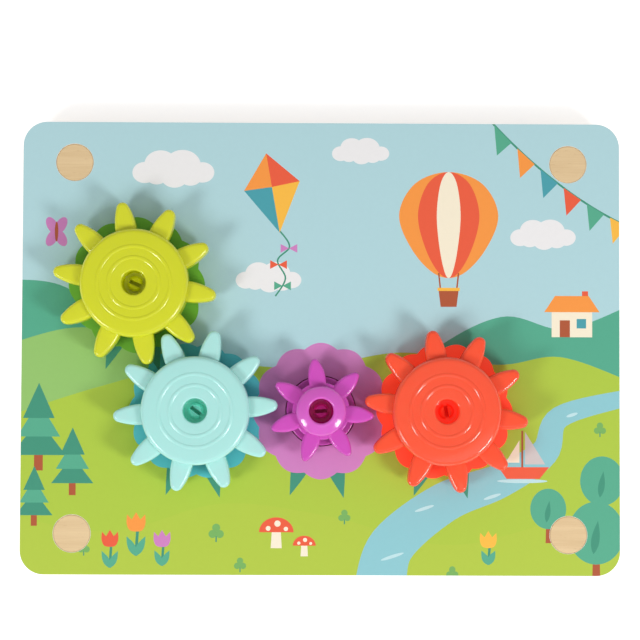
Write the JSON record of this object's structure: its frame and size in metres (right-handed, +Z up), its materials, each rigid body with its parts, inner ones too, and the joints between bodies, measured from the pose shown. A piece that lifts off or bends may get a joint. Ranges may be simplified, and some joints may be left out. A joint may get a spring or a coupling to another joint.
{
  "type": "wooden gear toy board",
  "caption": "Flat wooden activity board on round feet, with meshing plastic petal gears that spin together on snap pins over a printed landscape.",
  "frame": {"origin": "centre of the bounding box at the height of the foot soles", "axes": "+X to the right along the board's long side, +Y to the back, +Z up, square to the printed face"},
  "size_m": [0.3, 0.227, 0.0405],
  "materials": {
    "plywood": "satin clear lacquer on the cut edge and the back",
    "printed_paper": "printed, with a matt film",
    "birch": "fine sanded, clear lacquer",
    "green_plastic": "glossy moulded",
    "teal_plastic": "glossy moulded",
    "purple_plastic": "glossy moulded",
    "red_plastic": "glossy moulded",
    "steel": "zinc plated"
  },
  "bodies": {
    "base": {"board": "plywood", "printed_sheet": "printed_paper", "front_left_foot": "birch", "front_right_foot": "birch", "back_left_foot": "birch", "back_right_foot": "birch", "green_boss": "green_plastic", "teal_boss": "teal_plastic", "purple_boss": "purple_plastic", "red_boss": "red_plastic", "green_pin": "green_plastic", "teal_pin": "teal_plastic", "purple_pin": "purple_plastic", "red_pin": "red_plastic", "axle_screws": "steel", "axle_washers": "steel"},
    "green_gear": {"green_gear": "green_plastic"},
    "teal_gear": {"teal_gear": "teal_plastic"},
    "purple_gear": {"purple_gear": "purple_plastic"},
    "red_gear": {"red_gear": "red_plastic"}
  },
  "joints": [
    {"name": "green_spin", "type": "hinge", "parent": "base", "child": "green_gear", "pos_m": [-0.0925, 0.0313, 0.0185], "axis": [0, 0, 1], "continuous": true},
    {"name": "teal_spin", "type": "hinge", "parent": "base", "child": "teal_gear", "pos_m": [-0.062, -0.0315, 0.0185], "axis": [0, 0, 1], "continuous": true},
    {"name": "purple_spin", "type": "hinge", "parent": "base", "child": "purple_gear", "pos_m": [0, -0.0315, 0.0185], "axis": [0, 0, 1], "continuous": true},
    {"name": "red_spin", "type": "hinge", "parent": "base", "child": "red_gear", "pos_m": [0.062, -0.0315, 0.0185], "axis": [0, 0, 1], "continuous": true}
  ],
  "couplings": [
    {"joint": "green_spin", "follows": "teal_spin", "ratio": -1},
    {"joint": "purple_spin", "follows": "teal_spin", "ratio": -1.4286},
    {"joint": "red_spin", "follows": "teal_spin", "ratio": 1}
  ]
}
